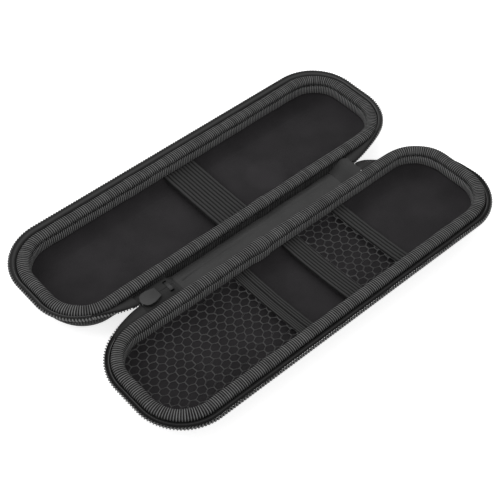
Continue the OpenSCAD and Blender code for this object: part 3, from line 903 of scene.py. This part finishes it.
def net_edges(left, right):
    """Tests for the sides of a net: each gives how far a point lies inside one of them. They
    are the rounded outline of the wall and the two leaning edges."""
    sides = []
    for angle in np.radians(np.arange(0, 360, 10)):
        direction = np.array([math.cos(angle), math.sin(angle)])
        corner = np.array([math.copysign(CX, direction[0]), math.copysign(CY, direction[1])])
        limit = float(corner @ direction) + NET_R
        sides.append(lambda p, limit=limit, direction=direction: limit - float(p @ direction))
    sides.append(lambda p: leaning(right, p[1]) - p[0])
    sides.append(lambda p: p[0] - leaning(left, p[1]))
    return sides


def net_cells(left, right, seed):
    """Six-sided cells of a knitted net, a little uneven, cut off at the net's sides."""
    random = np.random.default_rng(seed)
    corners = [(0, 2), (1, 1), (1, -1), (0, -2), (-1, -1), (-1, 1)]
    corners = np.array(corners) * (CELL_X / 2, CELL_Y / 3)
    moved = {}

    def jitter(p):
        key = (round(p[0] * 5), round(p[1] * 5))
        if key not in moved:
            moved[key] = random.normal(0, CELL_JITTER, 2)
        return p + moved[key]

    rows = math.ceil((CY + NET_R) / CELL_Y) + 1
    columns = math.ceil((right - max(left, -CX - NET_R)) / CELL_X) + 2
    sides = net_edges(left, right)
    cells = []
    for row in range(-rows, rows + 1):
        for column in range(-1, columns):
            x = right - 0.9 - CELL_X / 2 - column * CELL_X - (CELL_X / 2 if row % 2 else 0)
            y = row * CELL_Y
            cell = [jitter(np.array([leaning(x, y), y]) + c) for c in corners]
            for inside in sides:
                cell = clip(cell, inside)
            if len(cell) > 2:
                cells.append(finer(cell))
    return cells


def net_threads(cells):
    """Flat points and faces of the threads between cells, as each cell's frame round its gap."""
    index, points, faces = {}, [], []

    def vertex(p):
        key = (round(p[0], 2), round(p[1], 2))
        if key not in index:
            index[key] = len(points)
            points.append(p)
        return index[key]

    for cell in cells:
        ring = list(dict.fromkeys(vertex(p) for p in cell))
        if len(ring) < 3:
            continue
        shape = np.array([points[k] for k in ring])
        centre = shape.mean(0)
        edges = np.roll(shape, -1, 0) - shape
        lengths = np.clip(np.linalg.norm(edges, axis=1), 1e-6, None)
        inward = centre - shape
        off = np.abs(edges[:, 0] * inward[:, 1] - edges[:, 1] * inward[:, 0]) / lengths
        keep = 1 - THREAD_W / 2 / off.min()
        if keep < SMALLEST_GAP:
            faces.append(ring)
            continue
        inner = [len(points) + k for k in range(len(ring))]
        points.extend(centre + (shape - centre) * keep)
        for k in range(len(ring)):
            n = (k + 1) % len(ring)
            faces.append([ring[k], ring[n], inner[n], inner[k]])
    return np.array(points), faces


def net(name, cad_node, left, right):
    """A knitted net, stretched between the walls and a band's edge."""
    flat, faces = net_threads(net_cells(left, right, SEED + len(name)))
    x, y = flat.T
    across = np.clip(1 - (y / (CY + NET_R)) ** 2, 0, 1)
    waves = 0.18 * np.sin(x * 0.33 + 0.8) * np.sin(y * 0.4)
    z = (net_low[2] + net_high[2]) / 2 - NET_SAG * across + waves * across
    points = np.stack([x, y + RIM_Y, z], axis=1)
    obj = mesh_object(name, points, faces, NET_THREAD, thickness=NET_T)
    smooth = obj.modifiers.new("rounded threads", "SUBSURF")
    smooth.levels = 1
    smooth.render_levels = 1
    place(obj, "base", "net", cad_node)


def band(name, half, cad_node, ridges, bow=0.0, sag=0.5, lean=BAND_LEAN):
    """An elastic band from wall to wall. Ridges is a list of (start, end, count, height): runs
    of ridges across its width, as shares of the width."""
    low, high = span(cad_node)
    width = high[0] - low[0] - abs(lean)
    thick = high[2] - low[2]
    phases = (0.06, 0.2, 0.35, 0.5, 0.65, 0.8, 0.94)
    shares = (0.0, 0.7, 1.0, 1.05, 1.0, 0.7, 0.0)
    profile = [(0.0, 0.25, 0.0)]
    for start, end, count, height in ridges:
        cell = (end - start) / count
        for k in range(count):
            for phase, share in zip(phases, shares):
                profile.append((start + (k + phase) * cell, 0.55 + height * share, share))
    profile.append((1.0, 0.25, 0.0))
    across, tops, ridge_painted_highlight = np.array(profile).T
    y = np.linspace(-1, 1, 61)[:, None]
    profile_x = np.concatenate([across, across[::-1]]) * width
    profile_z = np.concatenate([tops, np.where((across == 0) | (across == 1), 0.1, 0.0)])
    middle = 1 - y ** 2
    lift = wander((y + 1) * 30, 60, 0.08, len(name))
    x0 = low[0] + (lean * (1 - y) / 2 if half == "base" else 0 * y)
    rows = rows_of(
        x0 + profile_x + bow * middle,
        y * BAND_REACH + RIM_Y,
        low[2] + profile_z * thick - sag * middle + lift,
    )
    # Painted highlight on the tops of the ridges, and painted shade between them.
    crest = np.tile(np.concatenate([ridge_painted_highlight, np.zeros(len(across))]), (len(y), 1))
    uv = np.stack(np.broadcast_arrays(y * BAND_REACH, profile_x), axis=2)
    faces = swept_faces(len(y), len(profile_x))
    obj = mesh_object(name, half_side(rows, half), faces, ELASTIC, uv=uv, crest=crest, sharp=70)
    place(obj, half, "elastic", cad_node)


# ---------------------------------------------------------------- spine
def spine_sheet(name, cad_node, lift):
    """A soft strip between the two fold lines, with long folds."""
    low, high = span(cad_node)
    x = np.linspace(low[0], high[0], 90)[:, None]
    y = np.linspace(-FOLD_Y + 0.05, FOLD_Y - 0.05, 25)
    share = np.clip(1 - (y / FOLD_Y) ** 4, 0, 1)
    ends = np.clip(np.minimum(x - low[0], high[0] - x) / 8, 0, 1)
    long_fold = np.exp(-((y - 3.4 - 0.7 * np.sin(x / 23)) / 1.1) ** 2)
    crease = np.exp(-((y - 1.2 - 0.02 * (x + 50)) / 0.7) ** 2) * smooth_step(-x, 12, 26)
    soft = 0.35 * np.sin(x / 9.0 + y * 0.5) * np.sin(y / 3.1 + 0.4)
    rise = lift * (0.6 * long_fold - 1.5 * crease + 0.9 * soft - 0.65) * share * ends
    rise -= 1.6 * lift * smooth_step(np.abs(y), FOLD_Y - 2.2, FOLD_Y)
    rows = rows_of(x, y, (low[2] + high[2]) / 2 + rise)
    closed, faces = thick_rows(rows, high[2] - low[2])
    obj = mesh_object(name, closed, faces, SPINE_CLOTH, sharp=60)
    place(obj, "spine", "spine_fabric", cad_node)


def spine_tab(name, cad_node, side, thickness):
    """The end of the spine strip, which climbs to the zip."""
    low, high = span(cad_node)
    near, far = (high[0], low[0]) if side < 0 else (low[0], high[0])
    t = np.linspace(0, 1, 26)[:, None]
    start_z = spine_high[2] - thickness / 2
    end_z = high[2] - thickness / 2
    middle_z = start_z + (end_z - start_z) * smooth_step(t, 0.05, 0.85)
    half_width = FOLD_Y - 0.3 - (FOLD_Y - 0.6 - high[1]) * smooth_step(t, 0.7, 1)
    y = np.linspace(-1, 1, 15)
    rows = rows_of(
        near + (far - near) * t + 0.9 * side * (np.abs(y) - 0.5) * smooth_step(t, 0.6, 1),
        y * half_width,
        middle_z + 0.35 * np.sin(y * 5 + 1) * (t * (1 - t) * 4),
    )
    closed, faces = thick_rows(rows, thickness)
    obj = mesh_object(name, closed, faces, SHADED_TAB_CLOTH, sharp=60)
    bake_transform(obj)
    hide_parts(cad_node)


# ---------------------------------------------------------------- slider, chain and puller
def chain_end():
    """The short meshed length of the zip inside and behind the slider."""
    left, right = slider_low[0] + 3.4, chain_high[0]
    distance = coil_steps(0, right - left)
    coil_x = left + 0.5 + distance * (right - left - 1) / (right - left)
    away = np.array([0.0, 0.0, -1.0])
    parts = []
    lights = []
    for side, half in zip((-1, 1), HALVES):
        line = rows_of(coil_x[:, None], side * 1.25, CHAIN_Z)[:, 0]
        head = np.array([0.0, -side, 0.0])
        points, faces, light = corded_coil(line, head, away, distance, COIL_PHASE[half])
        parts.append((points, faces))
        lights.append(light)
    points, faces = join(parts)
    coil = mesh_object("meshed_coils", points, faces, COIL_NYLON, crest=np.concatenate(lights))
    x = np.linspace(slider_low[0] - 4, right, 40)[:, None]
    inner_y = 0.95 - 0.85 * smooth_step(x, slider_low[0] + 3.6, slider_low[0] + 4.6)
    over_coils = 1.1 * smooth_step(x, slider_high[0] - 2.4, slider_high[0] - 1.0)
    shares = np.linspace(0, 1, 8)
    strips = []
    for side in (-1, 1):
        y = side * (inner_y + (FOLD_Y - 0.4 - inner_y) * shares)
        drop = 1.4 * smooth_step(np.abs(y), 4.4, FOLD_Y)
        lift = over_coils * (1 - smooth_step(np.abs(y), 2.2, 4.4))
        closed, strip_faces = thick_rows(rows_of(x, y, CHAIN_Z - drop + lift), MESHED_TAPE_T)
        strips.append((closed.reshape(-1, 3), strip_faces))
    points, faces = join(strips)
    shade = np.full(len(points), 0.55)
    tape = mesh_object("meshed_tape", points, faces, ZIP_TAPE, crest=shade, sharp=60)
    place(coil, "zip_end", "zip_teeth", "zip_chain_end")
    place(tape, "zip_end", "zip_tape")


def bottom_stop():
    """A bent strip of metal clamped round the end of the coils."""
    low, high = span("zip_bottom_stop")
    half_y = high[1] - 0.4
    path_z = np.array([low[2], low[2] + 1.2, high[2] - 0.7, high[2] - 0.2, high[2] - 0.2])
    path_y = np.array([half_y, half_y, half_y, half_y - 0.6, 0.0])
    line_y = np.concatenate([-path_y, path_y[-2::-1]])
    line_z = np.concatenate([path_z, path_z[-2::-1]])
    x = np.linspace(low[0], high[0], 4)[:, None]
    closed, faces = thick_rows(rows_of(x, line_y, line_z), 0.4)
    obj = mesh_object("bottom_stop", closed, faces, METAL, sharp=50)
    place(obj, "zip_end", "metal", "zip_bottom_stop")


def slider():
    """Slider body: two rounded plates on a post, side walls, and a bail below."""
    middle = (slider_low[0] + slider_high[0]) / 2
    half_l = (slider_high[0] - slider_low[0]) / 2
    half_w = slider_high[1]
    top = slider_high[2]
    plate_t = 1.1
    body_h = 2 * (top - CHAIN_Z)
    one_side = [
        (0.1 - half_l, 1.1), (1.4 - half_l, half_w - 1.0), (3.2 - half_l, half_w),
        (0.8, half_w), (half_l, half_w - 1.2),
    ]
    outline = [(middle + x, y) for x, y in one_side]
    outline += [(middle + x, -y) for x, y in reversed(one_side)]
    parts = [
        plate(outline, top - plate_t, top, 0.38),
        plate(outline, top - body_h, top - body_h + plate_t, 0.38),
    ]
    for side in (-1, 1):
        wall = [
            (middle - 2.4, side * (half_w - 0.75)), (middle - 2.4, side * (half_w - 0.05)),
            (middle + 2.6, side * (half_w - 0.25)), (middle + 2.6, side * (half_w - 0.75)),
        ]
        parts.append(plate(wall, CHAIN_Z + 0.55, top - plate_t + 0.3, 0.1))
        parts.append(plate(wall, top - body_h + plate_t - 0.3, CHAIN_Z - 0.55, 0.1))
    post = [
        (slider_low[0] + 0.8, -0.5), (slider_low[0] + 0.8, 0.5),
        (slider_low[0] + 3.2, 0.8), (slider_low[0] + 3.2, -0.8),
    ]
    parts.append(plate(post, top - body_h + 0.4, top - 0.4, 0.1))
    leg = [(2.65, 0.4), (2.65, -1.3), (2.3, -2.1), (1.5, -2.6)]
    bail = [(-x, z) for x, z in leg] + [(0, -2.65)] + leg[::-1]
    bail = [(middle + x, 0, top - body_h + z) for x, z in bail]
    parts.append(tube(bail, 0.45, sides=10, up=(0, 1, 0)))
    points, faces = join(parts)
    obj = mesh_object("slider_body", points, faces, PAINT, sharp=40)
    place(obj, "slider", "slider_paint", "zip_slider")


def puller():
    """Wire frame through the bail, and a ridged rubber grip."""
    low, high = span("puller_frame")
    middle = (low[0] + high[0]) / 2
    pivot_z = high[2] - 0.6
    half_y = high[1] - 0.45
    bottom = low[2] + 0.5
    side = [
        (half_y - 0.6, pivot_z), (half_y, pivot_z - 0.6),
        (half_y, bottom + 0.7), (half_y - 0.7, bottom),
    ]
    ring = [(0, pivot_z)] + side + [(0, bottom)] + [(-y, z) for y, z in reversed(side)]
    path = [(middle, y, z) for y, z in ring]
    points, faces = tube(path, 0.48, sides=10, closed=True, up=(1, 0, 0))
    wire = mesh_object("puller_wire", points, faces, METAL)
    low, high = span("puller_grip")
    radius = high[1]
    turn = np.linspace(-math.pi, 0, 17)
    outline = [(radius * math.cos(a), low[2] + radius + radius * math.sin(a)) for a in turn]
    outline += [(radius, high[2] - 1.5), (radius - 1.2, high[2])]
    outline += [(1.2 - radius, high[2]), (-radius, high[2] - 1.5)]
    half_t = (high[0] - low[0]) / 2
    points, faces = plate(outline, -half_t + 0.15, half_t - 0.15, 0.35)
    parts = [(points, faces)]
    for k in range(4):
        z = low[2] + 2.4 + 1.15 * k
        for side in (-1, 1):
            ridge = np.array([(y, z, side * (half_t - 0.2)) for y in np.linspace(-2.2, 2.2, 7)])
            parts.append(tube(ridge, 0.2, sides=6, up=(0, 0, 1)))
    points, faces = join(parts)
    points = np.stack([points[:, 2] + middle, points[:, 0], points[:, 1]], axis=1)
    grip = mesh_object("puller_grip_rubber", points, faces, RUBBER, sharp=45)
    place(wire, "puller", "metal", "puller_frame")
    place(grip, "puller", "rubber_grip", "puller_grip")


# ---------------------------------------------------------------- floor, light and camera
def floor():
    corners = [(-3, -3), (3, -3), (3, 3), (-3, 3)]
    just_below = -0.0002
    mesh = bpy.data.meshes.new("floor")
    mesh.from_pydata([(x, y, just_below) for x, y in corners], [], [[0, 1, 2, 3]])
    obj = scene_object("floor", mesh)
    material = bpy.data.materials.new("white_floor")
    material.use_nodes = True
    tree = material.node_tree
    tree.nodes.clear()
    path = node(tree, "LightPath")
    seen = math_node(tree, "ADD", path.outputs["Is Camera Ray"], path.outputs["Is Glossy Ray"])
    seen = math_node(tree, "ADD", seen, path.outputs["Is Transmission Ray"])
    glow = node(tree, "Emission", Color=(1, 1, 1, 1), Strength=math_node(tree, "MULTIPLY", seen, 0.72))
    paint = node(tree, "BsdfDiffuse", Color=(0.8, 0.8, 0.8, 1))
    both = node(tree, "AddShader", i0=glow.outputs[0], i1=paint.outputs[0])
    node(tree, "OutputMaterial", Surface=both.outputs[0])
    mesh.materials.append(material)


def world():
    made = bpy.data.worlds.new("white_room")
    bpy.context.scene.world = made
    made.use_nodes = True
    tree = made.node_tree
    tree.nodes.clear()
    path = node(tree, "LightPath")
    strength = math_node(tree, "MAXIMUM", path.outputs["Is Camera Ray"], 0.55)
    sky = node(tree, "Background", Color=(1, 1, 1, 1), Strength=strength)
    node(tree, "OutputWorld", Surface=sky.outputs[0])


def area_light(name, location, power, size):
    """A square light that points at the origin."""
    data = bpy.data.lights.new(name, "AREA")
    data.shape = "SQUARE"
    data.size = size
    data.energy = power
    obj = scene_object(name, data)
    obj.location = location
    obj.rotation_mode = "QUATERNION"
    obj.rotation_quaternion = Vector(location).to_track_quat("Z", "Y")


def camera():
    """The photo's camera, fitted to the case's corners, rims and hinge line."""
    azimuth, elevation, roll = (math.radians(a) for a in VIEW_ANGLES)
    back = Vector((
        math.sin(azimuth) * math.cos(elevation),
        -math.cos(azimuth) * math.cos(elevation),
        math.sin(elevation),
    ))
    data = bpy.data.cameras.new("camera")
    data.sensor_width = 36
    data.lens = VIEW_LENS
    data.clip_start = 0.01
    data.clip_end = 20
    obj = scene_object("camera", data)
    obj.location = (Vector(VIEW_TARGET) + back * VIEW_DISTANCE) * MM
    obj.rotation_mode = "QUATERNION"
    obj.rotation_quaternion = (-back).to_track_quat("-Z", "Y") @ Quaternion((0, 0, 1), roll)
    bpy.context.scene.camera = obj


def build():
    for half in HALVES:
        shell(half)
        lining(half)
        binding(half)
        stitches(half)
        zip_tape(half)
        zip_coil(half)
        for side in (-1, 1):
            zip_end(half, side)
    net("large_net", "large_pocket_net", -CX - INNER_R - 4, leaning_edge("large_pocket_band"))
    small_left = leaning_edge("small_pocket_wide_band", after=True)
    net("small_net", "small_pocket_net", small_left, leaning_edge("small_pocket_narrow_band"))
    two_runs = [(0.03, 0.5, 4, 0.12), (0.55, 0.97, 3, 0.45)]
    band("large_net_band", "base", "large_pocket_band", two_runs, bow=-0.5)
    band("wide_elastic", "base", "small_pocket_wide_band", [(0.03, 0.97, 6, 0.4)], bow=-0.4)
    band("narrow_elastic", "base", "small_pocket_narrow_band", [(0.04, 0.96, 4, 0.4)], bow=-0.3)
    band("lid_elastic", "lid", "lid_band", [(0.02, 0.98, 10, 0.45)], lean=0.0, sag=0.4)
    spine_sheet("spine_inner_cloth", "spine_lining", 1.0)
    spine_sheet("spine_outer_cloth", "spine_fabric", 0.25)
    spine_tab("left_tab", "spine_tab_left", -1, 0.9)
    spine_tab("right_tab", "spine_tab_right", 1, 1.2)
    chain_end()
    bottom_stop()
    slider()
    puller()


build()
floor()
world()
area_light("overhead", (-0.35, 0.45, 1.35), 9.0, 1.4)
area_light("front", (-0.7, -0.9, 1.2), 3.0, 1.0)
camera()
bpy.context.scene.view_settings.view_transform = "Standard"
